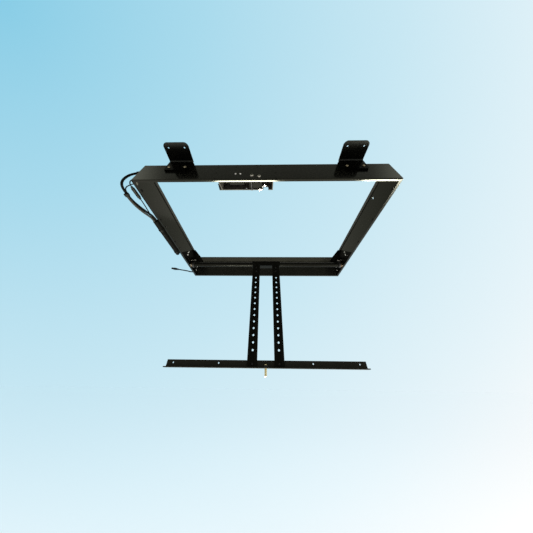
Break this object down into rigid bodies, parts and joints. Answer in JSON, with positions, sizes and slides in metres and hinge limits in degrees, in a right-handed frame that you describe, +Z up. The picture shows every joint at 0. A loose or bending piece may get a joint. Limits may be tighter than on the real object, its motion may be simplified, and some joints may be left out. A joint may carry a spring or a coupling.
{
  "type": "drop-down tv mount",
  "caption": "Shallow steel frame with mounting tabs and a hinged arm of rails and a bar that hangs down and folds up into the frame, where a latch holds it.",
  "frame": {"origin": "midway between the inner screw holes of the two mounting tabs, on the tabs' underside", "axes": "+X right along the front panel, +Y from the front panel to the hinge, +Z up"},
  "size_m": [0.9827, 0.6805, 0.5665],
  "materials": {
    "powder_coat": "semi-gloss black powder coat",
    "hinge_black": "satin black paint",
    "arm_black": "satin black powder coat",
    "zinc": "bright zinc plate",
    "black_oxide": "black oxide",
    "yellow_zinc": "yellow zinc plate",
    "bronze": "sintered bronze",
    "actuator_shell": "moulded shell",
    "moulded_black": "moulded, fine texture",
    "grommet_rubber": "matte rubber",
    "cable_black": "smooth jacket",
    "cable_grey": "smooth jacket"
  },
  "bodies": {
    "frame": {"front_panel": "powder_coat", "left_side_panel": "powder_coat", "right_side_panel": "powder_coat", "rear_channel": "powder_coat", "left_mounting_tab": "powder_coat", "right_mounting_tab": "powder_coat", "tab_backing_plates": "powder_coat", "latch_bracket": "powder_coat", "latch_foot": "powder_coat", "bracket_rivets": "powder_coat", "left_hinge_plate": "hinge_black", "right_hinge_plate": "hinge_black", "tab_nuts": "zinc", "hinge_plate_bolts": "zinc", "hinge_plate_nuts": "zinc", "hinge_plate_rivets": "zinc", "pivot_bolts": "zinc", "pivot_nuts": "zinc", "stop_pins": "zinc", "latch_nuts": "zinc", "latch_pins": "zinc", "latch_spacers": "zinc", "actuator_screws": "zinc", "latch_bolts": "zinc", "cable_glands": "zinc", "clip_screws": "black_oxide", "tab_screws": "yellow_zinc", "release_actuator": "actuator_shell", "cable_elbow": "moulded_black", "cable_boot": "moulded_black", "inline_connector": "moulded_black", "pigtail_plug": "moulded_black", "loom_clips": "moulded_black", "hole_plugs": "moulded_black", "pigtail_grommet": "grommet_rubber", "cable_loop": "cable_black", "black_cable": "cable_black", "thin_wire": "cable_black", "connector_lead": "cable_black", "connector_tail": "cable_black", "actuator_lead": "cable_black", "pigtail": "cable_black", "loom_sleeve": "cable_black", "grey_cable": "cable_grey"},
    "arm": {"hinge_tube": "arm_black", "pivot_bushes": "bronze", "stop_collars": "arm_black", "rail_carrier": "arm_black", "left_rail": "arm_black", "right_rail": "arm_black", "bottom_bar": "arm_black", "rail_rivets": "arm_black", "striker_pin": "yellow_zinc", "striker_nut": "black_oxide"},
    "claw": {"latch_claw": "zinc"},
    "pawl": {"latch_pawl": "zinc"},
    "plunger": {"release_plunger": "zinc"}
  },
  "joints": [
    {"name": "arm_fold", "type": "hinge", "parent": "frame", "child": "arm", "pos_m": [0, 0.562, -0.101], "axis": [-1, 0, 0], "range_deg": [0, 90]},
    {"name": "claw_turn", "type": "hinge", "parent": "frame", "child": "claw", "pos_m": [-0.017, 0.103, -0.063], "axis": [0, -1, 0], "range_deg": [0, 40], "stiffness_Nm_per_rad": 0.01, "springref_deg": -28.65},
    {"name": "pawl_turn", "type": "hinge", "parent": "frame", "child": "pawl", "pos_m": [-0.046, 0.103, -0.073], "axis": [0, 1, 0], "range_deg": [-6, 14], "stiffness_Nm_per_rad": 0.05},
    {"name": "plunger_slide", "type": "slide", "parent": "frame", "child": "plunger", "axis": [1, 0, 0], "range_m": [-0.0035, 0.0015]}
  ],
  "couplings": [
    {"joint": "plunger_slide", "follows": "pawl_turn", "m_per_rad": -0.013}
  ]
}
